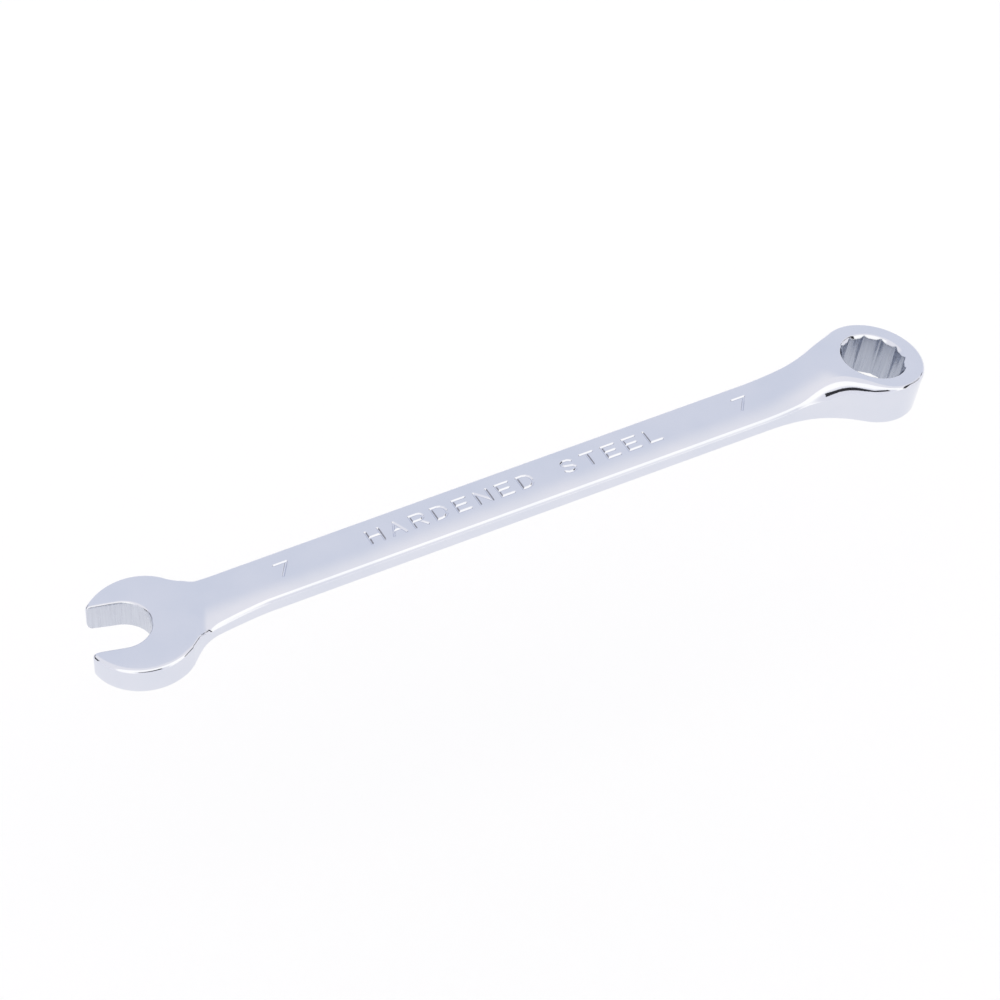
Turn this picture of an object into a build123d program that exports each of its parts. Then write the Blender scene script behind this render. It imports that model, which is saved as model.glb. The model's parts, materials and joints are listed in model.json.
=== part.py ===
"""Combination wrench, 7 mm: an open jaw at one end and a 12-point ring at the other.

The real wrench is one forging. Its working zones are made here as separate closed solids
that meet face to face: two jaws, the web behind them, a neck, the shank, a second neck
and the ring.

Working frame while modelling: the origin is on the open head's middle line, level with the
centre of the slot's round throat, +X runs along the shank to the ring, +Z is up. The finished
wrench is then moved so that the origin is the centre of the underside of its bounding box.
"""
from build123d import *
import math
import os

# ---- Driving dimensions, millimetres and degrees ----
ACROSS_FLATS = 7.08         # opening of the jaw for a 7 mm fastener
RING_ACROSS_FLATS = 7.14    # and of the ring
CENTRE_DISTANCE = 98.5      # from the origin to the ring's centre, along the shank
JAW_ANGLE = 15.0            # slot turned from the shank in plan
RING_ANGLE = 12.65          # ring axis leaned towards the tip

HEAD_LONG_RADIUS = 7.76     # the open head is a slight oval in plan
HEAD_SHORT_RADIUS = 7.1
HEAD_OVAL_TURN = 76.4       # long axis of the oval, from the slot's outward direction
HEAD_SETBACK = 2.39         # oval's centre, behind the origin
HEAD_SIDE_SHIFT = 0.12      # and to the trailing jaw's side of the slot
SLOT_SIDE_SHIFT = 0.15      # slot's middle line, to the trailing jaw's side
HEAD_THICKNESS = 3.84
HEAD_EDGE_RADIUS = 0.7      # rounding between the head's faces and its side
MOUTH_START = 3.9           # the slot's flats end here, out from the origin
MOUTH_FLARE_ANGLE = 58.0    # how steeply each jaw tip is cut back from its flat

SHANK_WIDTH = 7.2
SHANK_EDGE_THICKNESS = 2.1  # at the sides
SHANK_RISE = 0.1            # middle of the shank above the middle of the open head
SHANK_CROWN = 0.28          # extra height of each face along the centre line
SHANK_EDGE_RADIUS = 0.7
SHANK_START = 17.0
SHANK_END = 82.0

HEAD_NECK_LEAD_FLARE = 2.2  # widening towards the head on the leading jaw's side
HEAD_NECK_LEAD_POWER = 2    # and how late it sets in
HEAD_NECK_TRAIL_FLARE = 1.3
HEAD_NECK_TRAIL_POWER = 4
HEAD_NECK_SWELL = 0.3       # thickening of the sides towards the head
HEAD_NECK_STEPS = 5         # spans between the sections of the neck

RING_RADIUS = 6.42
RING_HEIGHT = 5.55
RING_EDGE_RADIUS = 0.55
RING_DROP = 1.1             # ring centre below the middle of the open head
RIM_CHAMFER_RADIUS = 4.25   # where the socket's lead-in meets the ring's top face
UNDER_CHAMFER_RADIUS = 4.0  # and its underside
RING_BORE_RADIUS = 3.86     # blunts the inner edges between the points
RING_FLARE_RADIUS = 15.0    # hollow in plan where the shank widens to the ring
RING_NECK_RISE = 1.25       # the neck's top face climbs this much to the ring's face
RING_NECK_RISE_POWER = 2
RING_NECK_FALL = 2.0        # and its underside drops this much
RING_NECK_FALL_POWER = 1.8
RING_NECK_REACH = 3.2       # the neck's last section, short of the ring's centre
RING_NECK_STEPS = 6
POINT_COUNT = 12
FIRST_POINT = 15.0          # turn of the first point from the line to the tip

# ---- Values worked out from them ----
SHANK_HALF = SHANK_WIDTH / 2
SHANK_SIDE = SHANK_EDGE_THICKNESS / 2
SLOT_HALF = ACROSS_FLATS / 2
MOUTH_LENGTH = 2.0          # long enough to clear the jaw tips
HEAD_NECK_START = 4.0       # hidden inside the head
JAW_START = 0.5             # the jaws begin this far out from the origin
RING_LEAN = math.radians(RING_ANGLE)
RING_NECK_END = CENTRE_DISTANCE - RING_NECK_REACH
RING_FLARE_START = CENTRE_DISTANCE - math.sqrt(
    (RING_RADIUS + RING_FLARE_RADIUS) ** 2 - (SHANK_HALF + RING_FLARE_RADIUS) ** 2)
RING_RISE_END = CENTRE_DISTANCE - RING_RADIUS + RING_EDGE_RADIUS
NECK_INSET = 0.05           # keeps a neck's end just under the face that it runs into
RING_TIP_CORNER = RING_ACROSS_FLATS / 2 / math.cos(math.radians(30))
RING_INNER_CORNER = RING_ACROSS_FLATS / 2 / math.cos(math.radians(15))
HOLE_MARGIN = 1.0           # how far a cutter passes the face that it cuts


def head_frame():
    """Plane of the open head: x points out of the slot, z is up."""
    out_angle = math.radians(180 - JAW_ANGLE)
    return Plane(
        origin=(0, 0, 0),
        x_dir=(math.cos(out_angle), math.sin(out_angle), 0),
        z_dir=(0, 0, 1),
    )


def ring_frame():
    """Plane through the ring's centre: z is the ring's axis, x leans down to the tip."""
    return Plane(
        origin=(CENTRE_DISTANCE, 0, -RING_DROP),
        x_dir=(math.cos(RING_LEAN), 0, -math.sin(RING_LEAN)),
        z_dir=(math.sin(RING_LEAN), 0, math.cos(RING_LEAN)),
    )


def ring_face_height(x, side):
    """Height at x of the ring's top face (side 1) or bottom face (side -1)."""
    face_x = CENTRE_DISTANCE + side * RING_HEIGHT / 2 * math.sin(RING_LEAN)
    face_z = -RING_DROP + side * RING_HEIGHT / 2 * math.cos(RING_LEAN)
    return face_z - (x - face_x) * math.tan(RING_LEAN)


def slot_outline():
    """Plan of the jaw opening: a half-round throat, parallel flats and a flared mouth.

    The flare takes the sharp corner off each jaw tip.
    """
    mouth_end = MOUTH_START + MOUTH_LENGTH
    mouth_half = SLOT_HALF + MOUTH_LENGTH * math.tan(math.radians(MOUTH_FLARE_ANGLE))
    corners = [
        (0, -SLOT_HALF),
        (MOUTH_START, -SLOT_HALF),
        (mouth_end, -mouth_half),
        (mouth_end, mouth_half),
        (MOUTH_START, SLOT_HALF),
        (0, SLOT_HALF),
    ]
    return Circle(SLOT_HALF) + make_face(Polyline(*corners, close=True))


def head_oval():
    """Outside of the open head in plan, before the slot is cut."""
    oval = Ellipse(HEAD_LONG_RADIUS, HEAD_SHORT_RADIUS)
    return Pos(-HEAD_SETBACK, -HEAD_SIDE_SHIFT) * Rot(0, 0, HEAD_OVAL_TURN) * oval


def slab(outline, thickness):
    """An outline drawn out to a thickness, centred on its own plane."""
    return Pos(0, 0, -thickness / 2) * extrude(outline, thickness)


def head_disc():
    """The open head's oval disc with rounded edges, before its slot is cut."""
    disc = slab(head_oval(), HEAD_THICKNESS)
    return fillet(disc.edges().filter_by(GeomType.ELLIPSE), HEAD_EDGE_RADIUS)


def make_head():
    """The open head with its slot."""
    slot = slab(Pos(0, -SLOT_SIDE_SHIFT) * slot_outline(), HEAD_THICKNESS + 2 * HOLE_MARGIN)
    return head_frame() * (head_disc() - slot)


def bar_section(x, y_low, y_high, z_low, z_high):
    """Cross-section at x: crowned faces, straight sides and rounded corners.

    z_low and z_high are the heights of the faces at the sides; the crown stands on them.
    """
    y_mid = (y_low + y_high) / 2
    z_low = z_low + SHANK_RISE
    z_high = z_high + SHANK_RISE
    top = ThreePointArc((y_low, z_high), (y_mid, z_high + SHANK_CROWN), (y_high, z_high))
    bottom = ThreePointArc((y_high, z_low), (y_mid, z_low - SHANK_CROWN), (y_low, z_low))
    right = Line((y_high, z_high), (y_high, z_low))
    left = Line((y_low, z_low), (y_low, z_high))
    outline = make_face([top, right, bottom, left])
    rounded = fillet(outline.vertices(), SHANK_EDGE_RADIUS)
    return Plane(origin=(x, 0, 0), x_dir=(0, 1, 0), z_dir=(1, 0, 0)) * rounded


def head_neck_section(x):
    """Section between the open head and the shank, wider on the leading jaw's side."""
    blend = (SHANK_START - x) / (SHANK_START - HEAD_NECK_START)
    lead_width = SHANK_HALF + HEAD_NECK_LEAD_FLARE * blend ** HEAD_NECK_LEAD_POWER
    trail_width = SHANK_HALF + HEAD_NECK_TRAIL_FLARE * blend ** HEAD_NECK_TRAIL_POWER
    side = SHANK_SIDE + HEAD_NECK_SWELL * blend ** 2
    return bar_section(x, -lead_width, trail_width, -side, side)


def ring_neck_section(x):
    """Section between the shank and the ring, which widens and deepens to the ring."""
    flare = max(0.0, x - RING_FLARE_START)
    width = SHANK_HALF + RING_FLARE_RADIUS - math.sqrt(RING_FLARE_RADIUS ** 2 - flare ** 2)
    climb = (x - SHANK_END) / (RING_RISE_END - SHANK_END)
    drop = (x - SHANK_END) / (RING_NECK_END - SHANK_END)
    face_allowance = SHANK_CROWN + SHANK_RISE + NECK_INSET
    climbing_top = SHANK_SIDE + RING_NECK_RISE * climb ** RING_NECK_RISE_POWER
    top = min(climbing_top, ring_face_height(x, 1) - face_allowance)
    bottom = -SHANK_SIDE - RING_NECK_FALL * drop ** RING_NECK_FALL_POWER
    return bar_section(x, -width, width, bottom, top)


def loft_between(section, start, end, steps):
    """Smooth solid through the sections from start to end."""
    places = [start + (end - start) * i / steps for i in range(steps + 1)]
    return loft([section(place) for place in places])


def make_ring_neck():
    """Solid from the shank into the ring, kept just under the ring's top face."""
    whole = loft_between(ring_neck_section, SHANK_END, RING_NECK_END, RING_NECK_STEPS)
    below_face = ring_frame().offset(RING_HEIGHT / 2 - NECK_INSET)
    return split(whole, below_face, keep=Keep.BOTTOM)


def make_shank():
    """The plain bar between the two necks."""
    return extrude(head_neck_section(SHANK_START), SHANK_END - SHANK_START, dir=(1, 0, 0))


def ring_blank():
    """The ring before its socket is cut, in the ring's own frame."""
    blank = slab(Circle(RING_RADIUS), RING_HEIGHT)
    return fillet(blank.edges().filter_by(GeomType.CIRCLE), RING_EDGE_RADIUS)


def lead_in(radius):
    """Cone that opens the hole to this radius at the ring's top face, at 45 degrees."""
    depth = radius - RING_BORE_RADIUS
    return Pos(0, 0, RING_HEIGHT / 2 - depth / 2) * Cone(RING_BORE_RADIUS, radius, depth)


def socket_cutter():
    """Twelve-point hole with a conical lead-in at both faces, in the ring's frame."""
    corners = []
    for index in range(POINT_COUNT):
        outer = math.radians(FIRST_POINT + index * 360 / POINT_COUNT)
        inner = math.radians(FIRST_POINT + (index + 0.5) * 360 / POINT_COUNT)
        corners.append((RING_TIP_CORNER * math.cos(outer), RING_TIP_CORNER * math.sin(outer)))
        corners.append((RING_INNER_CORNER * math.cos(inner), RING_INNER_CORNER * math.sin(inner)))
    star = make_face(Polyline(*corners, close=True))
    hole = slab(star + Circle(RING_BORE_RADIUS), 2 * RING_HEIGHT)
    return hole + lead_in(RIM_CHAMFER_RADIUS) + mirror(lead_in(UNDER_CHAMFER_RADIUS), about=Plane.XY)


def make_parts():
    """Every zone of the wrench, by node name, in the working frame."""
    frame = head_frame()
    jaw_roots = Plane(origin=frame.x_dir * JAW_START, z_dir=frame.x_dir)
    leading_jaw, trailing_jaw = split(make_head(), jaw_roots, keep=Keep.TOP).solids().sort_by(Axis.Y)
    head_neck = loft_between(head_neck_section, HEAD_NECK_START, SHANK_START, HEAD_NECK_STEPS)
    blank = ring_frame() * ring_blank()
    cutter = ring_frame() * socket_cutter()
    return {
        "leading_jaw": leading_jaw,
        "trailing_jaw": trailing_jaw,
        "jaw_web": split(make_head(), jaw_roots, keep=Keep.BOTTOM),
        "open_end_neck": head_neck - frame * head_disc(),
        "shank": make_shank(),
        "ring_end_neck": (make_ring_neck() - blank - cutter).solids().sort_by(SortBy.VOLUME)[-1],
        "ring_end_socket": blank - cutter,
    }


def place_at_base(parts):
    """Move the wrench so that the origin is the bottom centre of its bounding box."""
    box = Compound(children=[Compound(part.solids()) for part in parts.values()]).bounding_box()
    shift = Pos(-box.center().X, -box.center().Y, -box.min.Z)
    return {name: shift * part for name, part in parts.items()}


os.makedirs("parts", exist_ok=True)
for name, part in place_at_base(make_parts()).items():
    solids = part.solids()
    export_step(solids[0] if len(solids) == 1 else Compound(solids), f"parts/{name}.step")
    print(name, len(solids), round(part.volume, 2), part.bounding_box())
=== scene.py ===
import json
import math

import bmesh
import bpy
import numpy as np
from mathutils import Matrix, Vector


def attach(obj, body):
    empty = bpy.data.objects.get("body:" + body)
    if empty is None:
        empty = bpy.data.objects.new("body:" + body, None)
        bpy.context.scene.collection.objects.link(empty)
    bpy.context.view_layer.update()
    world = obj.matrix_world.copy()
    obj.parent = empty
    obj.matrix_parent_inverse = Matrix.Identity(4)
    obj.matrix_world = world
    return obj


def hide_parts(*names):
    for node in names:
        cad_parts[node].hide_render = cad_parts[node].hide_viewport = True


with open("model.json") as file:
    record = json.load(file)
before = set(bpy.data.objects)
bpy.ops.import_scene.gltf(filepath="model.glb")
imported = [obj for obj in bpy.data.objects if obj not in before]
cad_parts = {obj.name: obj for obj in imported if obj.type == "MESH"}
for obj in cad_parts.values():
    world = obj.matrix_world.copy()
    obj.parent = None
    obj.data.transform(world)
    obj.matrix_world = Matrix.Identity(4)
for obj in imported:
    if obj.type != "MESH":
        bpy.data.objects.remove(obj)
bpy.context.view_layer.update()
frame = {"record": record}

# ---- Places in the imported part, in millimetres ----
MOUNTS = {mount["name"]: mount for mount in frame["record"]["mounts"]}
JAW_ANGLE = math.radians(15)
OUT = (-math.cos(JAW_ANGLE), math.sin(JAW_ANGLE))   # out of the slot, in plan
SIDE = (-math.sin(JAW_ANGLE), -math.cos(JAW_ANGLE))  # from the trailing to the leading jaw
SLOT_SHIFT = 0.15           # slot's middle line, to the trailing jaw's side
ORIGIN = np.array(MOUNTS["jaw_slot"]["pos_m"]) * 1000 + SLOT_SHIFT * np.array([*SIDE, 0])
RING = np.array(MOUNTS["ring_socket"]["pos_m"]) * 1000 - ORIGIN
RING_AXIS = MOUNTS["ring_socket"]["axis"]
LEAN = math.atan2(RING_AXIS[0], RING_AXIS[2])

# ---- Open head ----
SLOT_HALF = 3.54
HEAD_CENTRE = (2.34, -0.50)
HEAD_LONG = 7.75
HEAD_SHORT = 7.09
HEAD_TURN = math.radians(61.4)
HEAD_HALF = 1.92
HEAD_DOME = 0.14            # each face drops this much at the outline
HEAD_ROUNDING = 0.52        # of the head's upper edge
WAIST_AT = -0.80            # the outline draws in here, before the neck, in radians
WAIST_DEPTH = 0.35
WAIST_SPREAD = 0.33
SHOULDER_START = 8.3        # the faces step down to the shank from here, inwards
SHOULDER_RUN = 1.8
UNDER_SHOULDER_START = 6.9  # the underside steps up earlier
UNDER_SHOULDER_RUN = 2.6
SHOULDER_BOW = 0.0125       # bends the step's line round the head
SLOT_RIM = 0.28             # rounding of the slot's edges
TIP_ROUNDING = 0.4          # extra rounding at the jaw tips
TIP_UNDER_ROUNDING = 0.6    # and of the underside there
TIP_FROM = 3.0
TIP_RUN = 1.2
MOUTH_START = 4.3           # the slot opens out from here, so the jaws end in blunt tips
MOUTH_FLARE = math.radians(65)
MOUTH_SOFTNESS = 0.9

# ---- Shank and the necks ----
SHANK_HALF = 3.6
SHANK_SIDE = 1.05
SHANK_RISE = 0.1
SHANK_CROWN = 0.28
EDGE_RADIUS = 0.7
NEAR_TAPER_START = 17.0
NEAR_TAPER = 0.115
FAR_TAPER_START = 12.4
FAR_TAPER = 0.075
NEAR_FILLET = 1.8           # where the shank's near side runs into the head
NEAR_FLARE = 1.2            # the near side widens by this much more at the head
NEAR_FLARE_AT = 6.0
NEAR_FLARE_RUN = 2.0
FAR_FILLET = 0.9
BAR_START = 4.0             # the shank's bar ends here, hidden in the head

# ---- Ring ----
RING_RADIUS = 6.41
RING_DRAFT = 0.018          # the ring's side leans in this much for each millimetre down
RING_HALF = 2.775
FLARE_RADIUS = 15.0
FLARE_REACH = math.sqrt((RING_RADIUS + FLARE_RADIUS) ** 2 - (SHANK_HALF + FLARE_RADIUS) ** 2)
FLARE_START = RING[0] - FLARE_REACH
CLIMB_START = 82.0          # the top face climbs to the ring's face from here
CLIMB_RUN = 10.9
CLIMB = 1.6
RIM_ROUNDING = 0.5          # of the ring's upper edge
OPENED_ROUNDING = 1.4       # extra rounding of that edge on the near side of the ring's neck
OPENED_START = 86.5
OPENED_END = 99.5
SOCKET_HALF = 3.57
BORE_RADIUS = 3.86          # blunts the inner edges between the socket's points
LEAD_RADIUS = 4.25
UNDER_LEAD_RADIUS = 4.0
FIRST_POINT = 15.0          # turn of the socket's first point from the line to the tip, in degrees
SOCKET_RIM = 0.1            # rounding of the socket's edges

# ---- Cuts between the zones ----
JAW_CUT = 0.5
HEAD_CUT = 8.9
SHANK_START = 17.0
SHANK_END = 82.0
RING_CUT = 92.6
NET_STEP = 0.11             # size of the grid cells that the skin is meshed in
MERGE_REACH = 0.002         # points of the ring's skin that are closer than this become one


# ---- Field tools ----
def smooth_step(t):
    t = np.clip(t, 0, 1)
    return t * t * (3 - 2 * t)


def rounded_and(a, b, radius):
    """Overlap of two fields, with its edge rounded."""
    corner = np.hypot(np.maximum(a + radius, 0), np.maximum(b + radius, 0))
    return np.minimum(np.maximum(a, b), -radius) + corner


def rounded_or(a, b, radius):
    """Union of two fields, with its inner corner filled."""
    corner = np.hypot(np.maximum(radius - a, 0), np.maximum(radius - b, 0))
    return np.maximum(np.minimum(a, b), radius) - corner


def soft_min(a, b, reach):
    near = np.maximum(reach - np.abs(a - b), 0) / reach
    return np.minimum(a, b) - near * near * reach / 4


# ---- The wrench as a field ----
def head_plan(x, y):
    """Distance to the open head's outline."""
    dx = x - HEAD_CENTRE[0]
    dy = y - HEAD_CENTRE[1]
    along = dx * math.cos(HEAD_TURN) + dy * math.sin(HEAD_TURN)
    across = dy * math.cos(HEAD_TURN) - dx * math.sin(HEAD_TURN)
    reach = np.hypot(along / HEAD_LONG, across / HEAD_SHORT)
    slope = np.hypot(along / HEAD_LONG ** 2, across / HEAD_SHORT ** 2)
    waist = (np.arctan2(dy, dx) - WAIST_AT) / WAIST_SPREAD
    return reach * (reach - 1) / np.maximum(slope, 1e-6) + WAIST_DEPTH * np.exp(-waist ** 2)


def bar_plan(x, y):
    """Distance to the outline of the shank, its tapers, its flare and the ring."""
    near = np.maximum(NEAR_TAPER_START - x, 0)
    far = np.maximum(FAR_TAPER_START - x, 0)
    near_taper = NEAR_TAPER * near ** 2 / (near + 1.5)
    near_taper = near_taper + NEAR_FLARE * np.exp(np.minimum(NEAR_FLARE_AT - x, 0) / NEAR_FLARE_RUN)
    far_taper = FAR_TAPER * far ** 2 / (far + 0.5)
    width = np.abs(y)
    straight = width - SHANK_HALF - np.where(y < 0, near_taper, far_taper)
    straight = np.maximum(straight, BAR_START - x)
    flare_centre = SHANK_HALF + FLARE_RADIUS
    flare = FLARE_RADIUS - np.hypot(x - FLARE_START, flare_centre - width)
    ring = np.hypot(x - RING[0], y) - RING_RADIUS
    past_flare = FLARE_REACH * width + flare_centre * (x - RING[0]) > 0
    return np.where(x < FLARE_START, straight, np.where(past_flare, ring, flare))


def slot_plan(x, y):
    """(distance to the slot's wall, distance out from the throat's centre)."""
    out = x * OUT[0] + y * OUT[1]
    side = x * SIDE[0] + y * SIDE[1] + SLOT_SHIFT
    slot = np.where(out < 0, np.hypot(out, side), np.abs(side)) - SLOT_HALF
    beside = (np.abs(side) - SLOT_HALF) * math.cos(MOUTH_FLARE)
    mouth = np.maximum(beside - (out - MOUTH_START) * math.sin(MOUTH_FLARE), MOUTH_START - 1 - out)
    return soft_min(slot, mouth, MOUTH_SOFTNESS), out


def ring_face(x, side):
    """Height of the ring's top face (side 1) or bottom face (side -1) at x."""
    return RING[2] + side * RING_HALF / math.cos(LEAN) - (x - RING[0]) * math.tan(LEAN)


def faces(x, y):
    """Heights of the top and bottom faces."""
    crown = SHANK_CROWN * (1 - np.minimum((y / SHANK_HALF) ** 2, 1.8))
    half = SHANK_SIDE + crown
    inward = -(x * OUT[0] + y * OUT[1])
    side = x * SIDE[0] + y * SIDE[1]
    inward = inward + SHOULDER_BOW * side ** 2
    shoulder = smooth_step((inward - SHOULDER_START) / SHOULDER_RUN)
    under_shoulder = smooth_step((inward - UNDER_SHOULDER_START) / UNDER_SHOULDER_RUN)
    reach = np.maximum(1 + head_plan(x, y) / HEAD_SHORT, 0) ** 4
    head_half = HEAD_HALF - HEAD_DOME * reach / np.hypot(1, reach / 3)
    top = head_half + (SHANK_RISE + half - head_half) * shoulder
    bottom = -head_half + (SHANK_RISE - half + head_half) * under_shoulder
    climb = np.maximum(x - CLIMB_START, 0) / CLIMB_RUN
    top = soft_min(top + CLIMB * climb ** 2.2, ring_face(x, 1), 0.7)
    bottom = soft_min(bottom, ring_face(x, -1), 0.5)
    return top - marks_depth(x, y), bottom


def top_rounding(x, y):
    """Radius of the upper edge: on the near side it opens out along the ring's neck."""
    head = (EDGE_RADIUS - HEAD_ROUNDING) * smooth_step((10 - x) / 4)
    opened = OPENED_ROUNDING * smooth_step((x - OPENED_START) / 5) * smooth_step((OPENED_END - x) / 5.5)
    closed = (EDGE_RADIUS - RIM_ROUNDING) * smooth_step((x - OPENED_START) / 8)
    return EDGE_RADIUS - head - closed + opened * smooth_step(0.5 - y / 3)


def blank(x, y, z):
    """The forging before its slot and socket are cut."""
    leaned = (x - RING[0]) * math.cos(LEAN) - (z - RING[2]) * math.sin(LEAN)
    depth = RING_HALF - (x - RING[0]) * math.sin(LEAN) - (z - RING[2]) * math.cos(LEAN)
    share = smooth_step((x - 84) / 9)
    along = x + share * (RING[0] + leaned - x)
    fillet = NEAR_FILLET + (FAR_FILLET - NEAR_FILLET) * smooth_step(y / 4 + 0.5)
    draft = RING_DRAFT * share * np.clip(depth, 0, 2 * RING_HALF)
    plan = rounded_or(head_plan(x, y), bar_plan(along, y) + draft, fillet)
    top, bottom = faces(x, y)
    upper = rounded_and(plan, z - top, top_rounding(x, y))
    out = x * OUT[0] + y * OUT[1]
    lower_radius = EDGE_RADIUS + TIP_UNDER_ROUNDING * smooth_step((out - TIP_FROM + 0.5) / 2.5)
    return rounded_and(upper, bottom - z, lower_radius)


def socket(x, y, z):
    """(the twelve-point hole, the same hole with its lead-ins), from the ring's axis."""
    across = (x - RING[0]) * math.cos(LEAN) - (z - RING[2]) * math.sin(LEAN)
    height = (x - RING[0]) * math.sin(LEAN) + (z - RING[2]) * math.cos(LEAN)
    hexagons = []
    for first in (FIRST_POINT, FIRST_POINT + 30):
        hexagon = -SOCKET_HALF
        for turn in (first, first + 60, first + 120):
            angle = math.radians(turn)
            flat = np.abs(across * math.cos(angle) + y * math.sin(angle)) - SOCKET_HALF
            hexagon = -soft_min(-flat, -hexagon, 0.12)
        hexagons.append(hexagon)
    reach = np.hypot(across, y)
    star = soft_min(soft_min(*hexagons, 0.12), reach - BORE_RADIUS, 0.1)
    lead_radius = np.where(height > 0, LEAD_RADIUS, UNDER_LEAD_RADIUS)
    lead = (reach - lead_radius + RING_HALF - np.abs(height)) * math.sqrt(0.5)
    return star, np.minimum(star, lead)


def wrench(x, y, z):
    """The finished wrench."""
    slot, out = slot_plan(x, y)
    rim = SLOT_RIM + TIP_ROUNDING * smooth_step((out - TIP_FROM) / TIP_RUN)
    metal = rounded_and(blank(x, y, z), -slot, rim)
    hole = socket(x, y, z)[1]
    return rounded_and(metal, -hole, SOCKET_RIM)


# ---- Engraved marks ----
STROKE_HALF = 0.23
STROKE_DEPTH = 0.16
WORD = "HARDENED STEEL"
WORD_START = 31.4
WORD_PITCH = 2.82
LETTER_WIDTH = 1.6
LETTER_HEIGHT = 1.98
BASELINE = -0.78
NUMERAL_PLACES = (19.7, 80.2)


def bow(centre, radii, start, end, count=7):
    """Points of an arc in a letter, by its angles in degrees."""
    angles = np.radians(np.linspace(start, end, count))
    return [(centre[0] + radii[0] * math.cos(angle), centre[1] + radii[1] * math.sin(angle))
            for angle in angles]


GLYPHS = {
    "H": [[(0, 0), (0, 1)], [(1, 0), (1, 1)], [(0, 0.5), (1, 0.5)]],
    "A": [[(0, 0), (0.5, 1), (1, 0)], [(0.2, 0.36), (0.8, 0.36)]],
    "R": [[(0, 0), (0, 1), (0.65, 1), *bow((0.65, 0.74), (0.33, 0.26), 90, -90), (0, 0.48)],
          [(0.5, 0.48), (1, 0)]],
    "D": [[(0, 0), (0, 1), (0.45, 1), *bow((0.45, 0.5), (0.55, 0.5), 90, -90), (0, 0)]],
    "E": [[(1, 1), (0, 1), (0, 0), (1, 0)], [(0, 0.5), (0.85, 0.5)]],
    "N": [[(0, 0), (0, 1), (1, 0), (1, 1)]],
    "S": [[*bow((0.5, 0.75), (0.45, 0.25), 25, 270), *bow((0.5, 0.25), (0.47, 0.25), 90, -155)]],
    "T": [[(0, 1), (1, 1)], [(0.5, 1), (0.5, 0)]],
    "L": [[(0, 1), (0, 0), (1, 0)]],
    "7": [[(0, 1), (1, 1), (0.18, 0)]],
}


def stroke_segments():
    """Every straight stroke of the marks as (x0, y0, x1, y1)."""
    places = [(WORD_START + i * WORD_PITCH, letter) for i, letter in enumerate(WORD) if letter in GLYPHS]
    places += [(x, "7") for x in NUMERAL_PLACES]
    segments = []
    for x, letter in places:
        for line in GLYPHS[letter]:
            points = [(x + u * LETTER_WIDTH, BASELINE + v * LETTER_HEIGHT) for u, v in line]
            segments += [(*a, *b) for a, b in zip(points, points[1:]) if math.dist(a, b) > 0.01]
    return segments


SEGMENTS = stroke_segments()


def marks_depth(x, y):
    """Depth of the V-shaped strokes below the top face."""
    depth = np.zeros(np.broadcast(x, y).shape)
    if np.max(x) < SHANK_START + 1 or np.min(x) > SHANK_END - 1:
        return depth
    for x0, y0, x1, y1 in SEGMENTS:
        margin = 2 * STROKE_HALF
        near = (x > min(x0, x1) - margin) & (x < max(x0, x1) + margin) & (np.abs(y) < 2)
        px = x[near] - x0
        py = y[near] - y0
        length = (x1 - x0) ** 2 + (y1 - y0) ** 2
        share = np.clip((px * (x1 - x0) + py * (y1 - y0)) / length, 0, 1)
        away = np.hypot(px - share * (x1 - x0), py - share * (y1 - y0))
        groove = STROKE_DEPTH * smooth_step((STROKE_HALF - away) / STROKE_HALF)
        depth[near] = np.maximum(depth[near], groove)
    return depth


# ---- Meshing ----
def slopes(points):
    """(field, its gradient) at points."""
    eps = 0.004
    parts = []
    for axis in range(3):
        step = np.zeros(3)
        step[axis] = eps
        parts.append((wrench(*(points + step).T) - wrench(*(points - step).T)) / (2 * eps))
    return wrench(*points.T), np.stack(parts, axis=1)


def onto_skin(points, rounds, longest):
    """Moves points to the skin along the field's gradient."""
    for _ in range(rounds):
        value, gradient = slopes(points)
        move = gradient * (value / np.maximum((gradient ** 2).sum(1), 0.05))[:, None]
        length = np.maximum(np.linalg.norm(move, axis=1), 1e-9)
        points = points - move * np.minimum(1, longest / length)[:, None]
    return points


CORNERS = np.array([(i, j, k) for i in (0, 1) for j in (0, 1) for k in (0, 1)])
EDGES = [(a, b) for a in range(8) for b in range(a + 1, 8) if np.abs(CORNERS[a] - CORNERS[b]).sum() == 1]


def surface_net(low, high, step):
    """Quads over the skin inside a box: one point in each grid cell that the skin crosses."""
    axes = [np.arange(a, b + step, step) for a, b in zip(low, high)]
    value = wrench(*np.meshgrid(*axes, indexing="ij"))
    inside = value < 0
    cells = tuple(n - 1 for n in value.shape)
    corner_of = [tuple(slice(c, c + n) for c, n in zip(corner, cells)) for corner in CORNERS]
    count = sum(inside[s].astype(np.int8) for s in corner_of)
    active = (count > 0) & (count < 8)
    index = np.full(cells, -1)
    index[active] = np.arange(active.sum())
    at = np.array([value[s][active] for s in corner_of])
    total = np.zeros((at.shape[1], 3))
    crossings = np.zeros(at.shape[1])
    for a, b in EDGES:
        crossed = (at[a] < 0) != (at[b] < 0)
        share = np.where(crossed, at[a] / np.where(crossed, at[a] - at[b], 1), 0)
        place = CORNERS[a] + share[:, None] * (CORNERS[b] - CORNERS[a])
        total += place * crossed[:, None]
        crossings += crossed
    points = np.array(low) + step * (np.argwhere(active) + total / crossings[:, None])
    quads = []
    for axis in range(3):
        quads.append(net_quads(inside, index, axis))
    return onto_skin(points, 3, step * 0.5), np.concatenate(quads)


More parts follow.
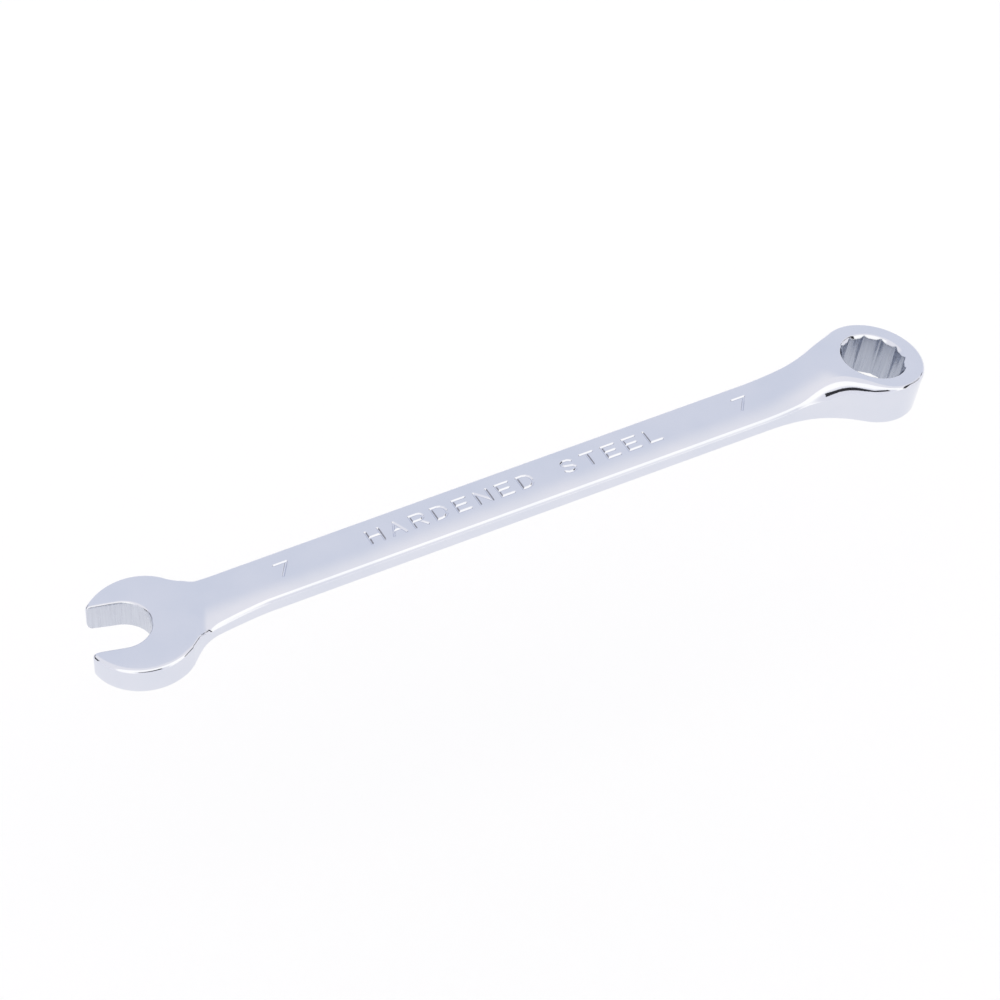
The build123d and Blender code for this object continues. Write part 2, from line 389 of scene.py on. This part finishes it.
def net_quads(inside, index, axis):
    """Quads round the grid edges along one axis that the skin crosses."""
    turned = np.moveaxis(inside, axis, 0)
    cells = np.moveaxis(index, axis, 0)
    low = turned[:-1, 1:-1, 1:-1]
    high = turned[1:, 1:-1, 1:-1]
    ring = [cells[:, :-1, :-1], cells[:, 1:, :-1], cells[:, 1:, 1:], cells[:, :-1, 1:]]
    if axis == 1:
        ring = ring[::-1]
    leaving = low & ~high
    entering = high & ~low
    outward = np.stack([part[leaving] for part in ring], axis=1)
    inward = np.stack([part[entering] for part in ring[::-1]], axis=1)
    return np.concatenate([outward, inward])


def cut(points, quads, planes):
    """bmesh of the faces behind every plane (point, outward normal), closed on each."""
    shape = bmesh.new()
    mesh = bpy.data.meshes.new("cutting")
    mesh.from_pydata(points.tolist(), [], quads.tolist())
    shape.from_mesh(mesh)
    bpy.data.meshes.remove(mesh)
    for place, normal in planes:
        geometry = shape.verts[:] + shape.edges[:] + shape.faces[:]
        found = bmesh.ops.bisect_plane(
            shape, geom=geometry, dist=1e-5, plane_co=place, plane_no=normal, clear_outer=True)
        rim = [g for g in found["geom_cut"] if isinstance(g, bmesh.types.BMEdge) and g.is_boundary]
        bmesh.ops.holes_fill(shape, edges=rim, sides=0)
    loose = [v for v in shape.verts if not v.link_faces]
    bmesh.ops.delete(shape, geom=loose, context="VERTS")
    bmesh.ops.recalc_face_normals(shape, faces=shape.faces[:])
    return shape


def shank_section():
    """Start points round the shank's section, close together where the marks are."""
    inner = SHANK_HALF - EDGE_RADIUS
    level = SHANK_SIDE - EDGE_RADIUS
    marked = np.arange(BASELINE - 0.2, BASELINE + LETTER_HEIGHT + 0.24, 0.06)
    top = np.concatenate([np.linspace(-inner, marked[0], 10)[:-1], marked,
                          np.linspace(marked[-1], inner, 8)[1:]])
    points = [(y, level + EDGE_RADIUS + SHANK_RISE) for y in top]
    rounds = ((inner, level, 90), (inner, -level, 0), (-inner, -level, -90), (-inner, level, -180))
    for y, z, start in rounds:
        arc = np.radians(np.linspace(start, start - 90, 10))
        points += [(y + EDGE_RADIUS * math.cos(a), z + EDGE_RADIUS * math.sin(a) + SHANK_RISE) for a in arc]
        if start == 0:
            points += [(v, -level - EDGE_RADIUS + SHANK_RISE) for v in np.linspace(inner, -inner, 20)[1:-1]]
    kept = [points[0]]
    for point in points[1:]:
        if math.dist(point, kept[-1]) > 1e-6 and math.dist(point, kept[0]) > 1e-6:
            kept.append(point)
    return np.array(kept)


def shank_stations():
    """Places along the shank, close together where the marks are."""
    spans = [(x - 0.3, min(x + LETTER_WIDTH + 0.3, SHANK_END)) for x in NUMERAL_PLACES]
    word_end = WORD_START + (len(WORD) - 1) * WORD_PITCH + LETTER_WIDTH
    spans.insert(1, (WORD_START - 0.3, word_end + 0.3))
    stations = []
    reached = SHANK_START
    for start, end in spans:
        stations += list(np.linspace(reached, start, max(2, round((start - reached) / 0.5)))[:-1])
        stations += list(np.arange(start, end, 0.07))
        reached = end
    return np.array(stations + [SHANK_END])


def shank_mesh():
    """Closed bmesh of the shank, extruded from its section with the marks sunk in."""
    section = shank_section()
    start = np.column_stack([np.full(len(section), 25.0), section])
    section = onto_skin(start, 6, 0.3)[:, 1:]
    stations = shank_stations()
    x = np.repeat(stations, len(section))
    y = np.tile(section[:, 0], len(stations))
    z = np.tile(section[:, 1], len(stations))
    z = z - np.where(z > 0, marks_depth(x, y), 0)
    rows = np.arange(len(x)).reshape(len(stations), len(section))
    after = np.roll(rows, -1, axis=1)
    quads = np.stack([rows[:-1], rows[1:], after[1:], after[:-1]], axis=-1).reshape(-1, 4)
    shape = cut(np.column_stack([x, y, z]), quads, [])
    rim = [edge for edge in shape.edges if edge.is_boundary]
    bmesh.ops.holes_fill(shape, edges=rim, sides=0)
    bmesh.ops.recalc_face_normals(shape, faces=shape.faces[:])
    return shape


def on_side(shape, direction):
    """A copy of the bmesh with only its loose parts on one side of the head's middle line."""
    kept = shape.copy()
    far = [v for v in kept.verts if v.co.x * direction[0] + v.co.y * direction[1] < 0]
    bmesh.ops.delete(kept, geom=far, context="VERTS")
    return kept


# ---- From bmesh to a piece of the wrench ----
def satin_share(points):
    """1 on the ground walls of the slot and the socket, 0 on the polished skin."""
    slot, out = slot_plan(points[:, 0], points[:, 1])
    in_slot = 1 - smooth_step((np.abs(slot) - 0.02) / 0.08)
    in_slot = in_slot * smooth_step((TIP_FROM + 1.1 - out) / 0.5)
    star = socket(*points.T)[0]
    in_socket = 1 - smooth_step((np.abs(star) - 0.02) / 0.06)
    return np.maximum(in_slot, in_socket)


def add_piece(name, shape, node, material, has_satin):
    """Puts a zone in the scene: it rides on the CAD body and stands for its CAD node."""
    mesh = bpy.data.meshes.new(name)
    shape.to_mesh(mesh)
    shape.free()
    count = len(mesh.vertices)
    points = np.empty(count * 3)
    mesh.vertices.foreach_get("co", points)
    points = points.reshape(-1, 3)
    gradient = slopes(points)[1]
    smooth = gradient / np.maximum(np.linalg.norm(gradient, axis=1), 1e-9)[:, None]
    if has_satin:
        satin = mesh.attributes.new("satin", "FLOAT", "POINT")
        satin.data.foreach_set("value", satin_share(points).astype(np.float32))
    mesh.vertices.foreach_set("co", ((points + ORIGIN) / 1000).ravel())
    mesh.polygons.foreach_set("use_smooth", np.ones(len(mesh.polygons), bool))
    mesh.update()
    corners = np.empty(len(mesh.loops), int)
    mesh.loops.foreach_get("vertex_index", corners)
    normals = smooth[corners]
    for polygon in mesh.polygons:
        if polygon.loop_total > 8:
            span = slice(polygon.loop_start, polygon.loop_start + polygon.loop_total)
            normals[span] = polygon.normal
    mesh.normals_split_custom_set(normals.tolist())
    mesh.materials.append(material)
    piece = bpy.data.objects.new(name, mesh)
    bpy.context.scene.collection.objects.link(piece)
    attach(piece, "root")
    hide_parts(node)
    return piece


# ---- Materials ----
def add_node(material, kind, **values):
    """A node, with its inputs set by name."""
    node = material.node_tree.nodes.new(kind)
    for key, value in values.items():
        socket_name = key.replace("_", " ")
        if socket_name in node.inputs:
            node.inputs[socket_name].default_value = value
        else:
            setattr(node, key, value)
    return node


def noise(material, vector, stretch, scale, detail):
    """Noise in the piece's own place, stretched along an axis."""
    tree = material.node_tree
    mapping = add_node(material, "ShaderNodeMapping", Scale=stretch)
    tree.links.new(vector, mapping.inputs["Vector"])
    texture = add_node(material, "ShaderNodeTexNoise", Scale=scale, Detail=detail)
    tree.links.new(mapping.outputs["Vector"], texture.inputs["Vector"])
    return texture.outputs["Fac"]


def ranged(material, value, low, high):
    node = material.node_tree.nodes.new("ShaderNodeMapRange")
    node.inputs["From Min"].default_value = 0.3
    node.inputs["From Max"].default_value = 0.7
    node.inputs["To Min"].default_value = low
    node.inputs["To Max"].default_value = high
    material.node_tree.links.new(value, node.inputs["Value"])
    return node.outputs["Result"]


def mixed(material, kind, share, a, b):
    """Mix of two values or colours; share, a and b are sockets or constants."""
    node = material.node_tree.nodes.new("ShaderNodeMix")
    node.data_type = kind
    suffix = {"FLOAT": "Float", "RGBA": "Color"}[kind]
    sockets = [s for s in node.inputs if s.identifier in ("Factor_Float", "A_" + suffix, "B_" + suffix)]
    for end, value in zip(sockets, (share, a, b)):
        if isinstance(value, bpy.types.NodeSocket):
            material.node_tree.links.new(value, end)
        else:
            end.default_value = value
    return next(s for s in node.outputs if s.identifier == "Result_" + suffix)


def chrome_material(name, satin_lean=None, satin_tints_and_shade=None):
    """Polished chrome with faint haze, and ground satin steel where the mesh says so; the given satin tints
    can also carry painted shade, as on the socket's walls.
    """
    material = bpy.data.materials.new(name)
    material.use_nodes = True
    tree = material.node_tree
    shader = tree.nodes["Principled BSDF"]
    shader.inputs["Metallic"].default_value = 1.0
    coordinates = tree.nodes.new("ShaderNodeTexCoord").outputs["Object"]
    haze = noise(material, coordinates, (1, 1, 1), 160, 3)
    brushed = noise(material, coordinates, (1, 9, 9), 900, 2)
    tint = mixed(material, "RGBA", ranged(material, haze, 0, 1),
                 (0.70, 0.725, 0.81, 1), (0.74, 0.755, 0.83, 1))
    polish = mixed(material, "FLOAT", 0.4, ranged(material, haze, 0.03, 0.075),
                   ranged(material, brushed, 0.03, 0.09))
    height = mixed(material, "FLOAT", 0.5, haze, brushed)
    if satin_lean is not None:
        turned = add_node(material, "ShaderNodeMapping", Rotation=(0, -satin_lean, 0))
        tree.links.new(coordinates, turned.inputs["Vector"])
        streaks = noise(material, turned.outputs["Vector"], (1, 1, 0.04), 5200, 4)
        share = add_node(material, "ShaderNodeAttribute", attribute_name="satin").outputs["Fac"]
        # the ground walls' tint: the satin steel's own tone, and painted shade where the given tints are
        # darker (the socket's walls)
        ground = mixed(material, "RGBA", ranged(material, streaks, 0, 1), *satin_tints_and_shade)
        tint = mixed(material, "RGBA", share, tint, ground)
        polish = mixed(material, "FLOAT", share, polish, ranged(material, streaks, 0.22, 0.42))
        height = mixed(material, "FLOAT", share, height, streaks)
    bump = add_node(material, "ShaderNodeBump", Strength=0.12, Distance=0.00002)
    tree.links.new(height, bump.inputs["Height"])
    tree.links.new(bump.outputs["Normal"], shader.inputs["Normal"])
    tree.links.new(tint, shader.inputs["Base Color"])
    tree.links.new(polish, shader.inputs["Roughness"])
    return material


# ---- Build the pieces ----
def build_wrench():
    chrome = chrome_material("polished_chrome")
    jaw_steel = chrome_material(
        "chrome_and_ground_slot", 0.0, ((0.56, 0.585, 0.66, 1), (0.66, 0.685, 0.76, 1)))
    # The socket's ground walls get darker, bluer tints than the slot's: partly the duller ground steel,
    # partly painted shade inside the hole.
    ring_steel_painted_shade = chrome_material(
        "chrome_and_ground_socket_painted_shade", LEAN, ((0.36, 0.39, 0.47, 1), (0.50, 0.53, 0.61, 1)))
    out = Vector((*OUT, 0))
    along = Vector((1, 0, 0))
    margin = 3 * NET_STEP
    points, quads = surface_net((-6.2, -9.0, -2.3), (SHANK_START + margin, 7.9, 2.3), NET_STEP)
    jaw_root = out * JAW_CUT
    jaws = cut(points, quads, [(jaw_root, -out)])
    add_piece("jaw_leading", on_side(jaws, SIDE), "leading_jaw", jaw_steel, True)
    add_piece("jaw_trailing", on_side(jaws, (-SIDE[0], -SIDE[1])), "trailing_jaw", jaw_steel, True)
    jaws.free()
    head_end = along * HEAD_CUT
    web = cut(points, quads, [(jaw_root, out), (head_end, along)])
    add_piece("head_web", web, "jaw_web", jaw_steel, True)
    neck = cut(points, quads, [(head_end, -along), (along * SHANK_START, along)])
    add_piece("neck_open_end", neck, "open_end_neck", chrome, False)
    add_piece("shank_bar", shank_mesh(), "shank", chrome, False)
    points, quads = surface_net((SHANK_END - margin, -7.0, -5.6), (106.0, 7.0, 3.6), NET_STEP)
    ring_start = along * RING_CUT
    neck = cut(points, quads, [(along * SHANK_END, -along), (ring_start, along)])
    add_piece("neck_ring_end", neck, "ring_end_neck", chrome, False)
    ring = cut(points, quads, [(ring_start, -along)])
    bmesh.ops.remove_doubles(ring, verts=ring.verts[:], dist=MERGE_REACH)
    add_piece("ring_socket_end", ring, "ring_end_socket", ring_steel_painted_shade, True)


# ---- Studio ----
VIEW_AZIMUTH = math.radians(27.1825)    # the camera stands this far round from the front
VIEW_ELEVATION = math.radians(44.756)
VIEW_DISTANCE = 544.30
FOCAL_PIXELS = 4633.5
AIM = Vector((50, 0, 0))
AIM_RIGHT = 1.411
AIM_UP = 0.4353
FLOOR_DROP = 0.06           # metres below the wrench, so that no shadow shows


def view_axes():
    """(right, up, forward) of the photograph's view."""
    a, e = VIEW_AZIMUTH, VIEW_ELEVATION
    forward = Vector((math.sin(a) * math.cos(e), math.cos(a) * math.cos(e), -math.sin(e)))
    right = Vector((math.cos(a), -math.sin(a), 0))
    return right, right.cross(forward), forward


def add_camera():
    right, up, forward = view_axes()
    place = AIM - right * AIM_RIGHT - up * AIM_UP - forward * VIEW_DISTANCE
    camera = bpy.data.cameras.new("camera")
    camera.sensor_width = 36
    camera.lens = FOCAL_PIXELS * camera.sensor_width / 1000
    camera.clip_start = 0.01
    camera.clip_end = 20
    holder = bpy.data.objects.new("camera", camera)
    turn = Matrix((right, up, -forward)).transposed().to_4x4()
    holder.matrix_world = Matrix.Translation((place + Vector(ORIGIN)) / 1000) @ turn
    bpy.context.scene.collection.objects.link(holder)
    bpy.context.scene.camera = holder


SKY_DIRECTION = (-0.1, -0.9, 0.3)
SKY_STOPS = (               # (share towards the camera's side, colour, strength)
    (-0.34, (0.905, 0.93, 1.0), 0.918),
    (-0.15, (1.0, 0.985, 0.985), 1.02),
    (0.40, (1.0, 0.98, 0.985), 1.03),
    (0.52, (1.0, 0.98, 0.91), 1.36),
    (0.77, (1.0, 0.98, 0.91), 1.36),
    (0.89, (0.99, 0.98, 1.0), 1.0),
)
CARDS = (                   # (shade, corners as azimuth, low and high elevation)
    (0.03, ((152, -2, 23), (168, -4, 21))),
    (0.33, ((124, -8, 40), (146, -8, 40))),
    (0.20, ((97, -7, 9), (116, -7, 9))),
    (0.12, ((8, 3, 12), (15, 3, 13))),
    (0.03, ((-124, 21, 29), (-81, 21, 42))),
    (0.03, ((-41, 3, 17), (-21, 21, 32), (-6, 27, 36), (4, 27, 35), (10, 14, 20))),
    (0.03, ((-10, 20, 30), (-4, 12, 24), (4, 5, 13))),
)
CARD_DISTANCE = 0.9         # metres


def add_world():
    """Soft studio light: lavender ahead, white above and behind the camera."""
    world = bpy.data.worlds.new("studio")
    world.use_nodes = True
    bpy.context.scene.world = world
    tree = world.node_tree
    background = tree.nodes["Background"]
    direction = tree.nodes.new("ShaderNodeTexCoord").outputs["Generated"]
    facing = tree.nodes.new("ShaderNodeVectorMath")
    facing.operation = "DOT_PRODUCT"
    facing.inputs[1].default_value = SKY_DIRECTION
    tree.links.new(direction, facing.inputs[0])
    shifted = tree.nodes.new("ShaderNodeMapRange")
    shifted.inputs["From Min"].default_value = -1
    tree.links.new(facing.outputs["Value"], shifted.inputs["Value"])
    ramp = tree.nodes.new("ShaderNodeValToRGB")
    ramp.color_ramp.interpolation = "EASE"
    stops = ramp.color_ramp.elements
    while len(stops) < len(SKY_STOPS):
        stops.new(0.5)
    brightest = max(strength for _, _, strength in SKY_STOPS)
    for stop, (share, colour, strength) in zip(stops, SKY_STOPS):
        stop.position = (share + 1) / 2
        stop.color = (*(channel * strength / brightest for channel in colour), 1)
    background.inputs["Strength"].default_value = brightest
    tree.links.new(shifted.outputs["Result"], ramp.inputs["Fac"])
    tree.links.new(ramp.outputs["Color"], background.inputs["Color"])


def add_card(name, shade, stops):
    """A card standing round the wrench that the camera doesn't see."""
    material = bpy.data.materials.new(name)
    material.use_nodes = True
    shader = material.node_tree.nodes["Principled BSDF"]
    shader.inputs["Base Color"].default_value = (shade, shade, shade * 1.1, 1)
    shader.inputs["Roughness"].default_value = 1.0
    corners = []
    for azimuth, low, high in stops:
        angle = math.radians(azimuth)
        for rise in (low, high):
            corners.append((CARD_DISTANCE * math.cos(angle), CARD_DISTANCE * math.sin(angle),
                            CARD_DISTANCE * math.tan(math.radians(rise))))
    quads = [(2 * i, 2 * i + 2, 2 * i + 3, 2 * i + 1) for i in range(len(stops) - 1)]
    mesh = bpy.data.meshes.new(name)
    mesh.from_pydata(corners, [], quads)
    mesh.materials.append(material)
    card = bpy.data.objects.new(name, mesh)
    card.visible_camera = False
    card.visible_shadow = False
    card.visible_diffuse = False
    bpy.context.scene.collection.objects.link(card)


def add_cards():
    """Studio cards, whose reflections draw the thin lines on the chrome's edges."""
    for number, (shade, stops) in enumerate(CARDS):
        add_card(f"card_{number}", shade, stops)


def add_floor():
    mesh = bpy.data.meshes.new("floor")
    low = -FLOOR_DROP
    mesh.from_pydata([(-3, -3, low), (3, -3, low), (3, 3, low), (-3, 3, low)], [], [(0, 1, 2, 3)])
    material = bpy.data.materials.new("pale_floor")
    material.use_nodes = True
    shader = material.node_tree.nodes["Principled BSDF"]
    shader.inputs["Base Color"].default_value = (0.945, 0.95, 0.965, 1)
    shader.inputs["Roughness"].default_value = 0.9
    shader.inputs["Specular IOR Level"].default_value = 0.0
    mesh.materials.append(material)
    floor = bpy.data.objects.new("floor", mesh)
    bpy.context.scene.collection.objects.link(floor)


build_wrench()
add_camera()
add_world()
add_cards()
add_floor()
bpy.context.scene.view_settings.view_transform = "Standard"
